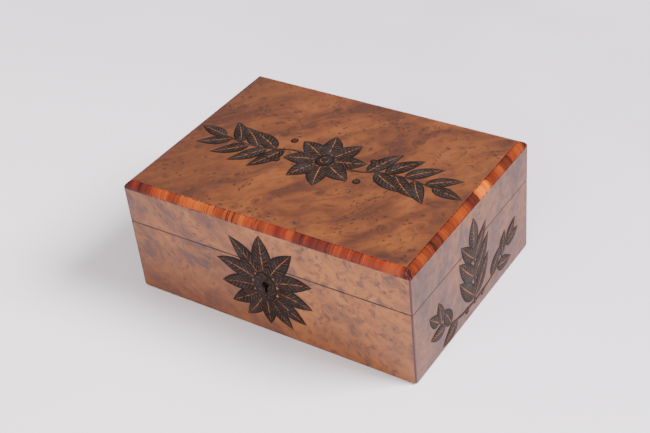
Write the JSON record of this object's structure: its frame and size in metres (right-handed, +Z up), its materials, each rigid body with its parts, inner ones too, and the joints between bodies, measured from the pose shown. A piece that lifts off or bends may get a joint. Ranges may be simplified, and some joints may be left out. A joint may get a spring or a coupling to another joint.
{
  "type": "ditty box",
  "caption": "Rectangular veneered wooden box with a hinged lid, bevelled edge banding and a link-plate box lock.",
  "frame": {"origin": "centre of the resting face, on the table", "axes": "+X to the right when the keyhole faces the viewer, +Y to the back where the hinges are, +Z up"},
  "size_m": [0.24, 0.1738, 0.097],
  "materials": {
    "burl_veneer": "satin wax on burl",
    "banding_wood": "satin wax, grain across the strip",
    "stringing_wood": "satin wax",
    "carcass_wood": "plain, lightly waxed",
    "brass": "brushed, slightly dulled",
    "steel": "dull",
    "baize": "napped"
  },
  "bodies": {
    "body": {"bottom_board": "carcass_wood", "body_front_board": "carcass_wood", "body_back_board": "carcass_wood", "body_left_board": "carcass_wood", "body_right_board": "carcass_wood", "body_front_veneer": "burl_veneer", "body_back_veneer": "burl_veneer", "body_left_veneer": "burl_veneer", "body_right_veneer": "burl_veneer", "body_corner_stringing": "stringing_wood", "floor_lining": "baize", "left_hinge_body_leaf": "brass", "left_hinge_pin": "steel", "right_hinge_body_leaf": "brass", "right_hinge_pin": "steel", "hinge_body_screws": "brass", "lock_plate": "brass", "lock_case": "steel", "lock_studs": "steel", "key_pin": "steel", "lock_screws": "brass"},
    "lid": {"lid_top_board": "carcass_wood", "lid_front_board": "carcass_wood", "lid_back_board": "carcass_wood", "lid_left_board": "carcass_wood", "lid_right_board": "carcass_wood", "lid_top_veneer": "burl_veneer", "lid_front_veneer": "burl_veneer", "lid_back_veneer": "burl_veneer", "lid_left_veneer": "burl_veneer", "lid_right_veneer": "burl_veneer", "lid_corner_stringing": "stringing_wood", "banding_front": "banding_wood", "banding_back": "banding_wood", "banding_left": "banding_wood", "banding_right": "banding_wood", "left_hinge_lid_leaf": "brass", "right_hinge_lid_leaf": "brass", "hinge_lid_screws": "brass", "link_plate": "brass", "left_link": "brass", "right_link": "brass", "link_screws": "brass"},
    "bolt": {"lock_bolt": "brass", "bolt_spring": "steel"}
  },
  "joints": [
    {"name": "lid_hinge", "type": "hinge", "parent": "body", "child": "lid", "pos_m": [0, 0.085, 0.062], "axis": [-1, 0, 0], "range_deg": [0, 95]},
    {"name": "bolt_slide", "type": "slide", "parent": "body", "child": "bolt", "axis": [1, 0, 0], "range_m": [0, 0.0045]}
  ]
}
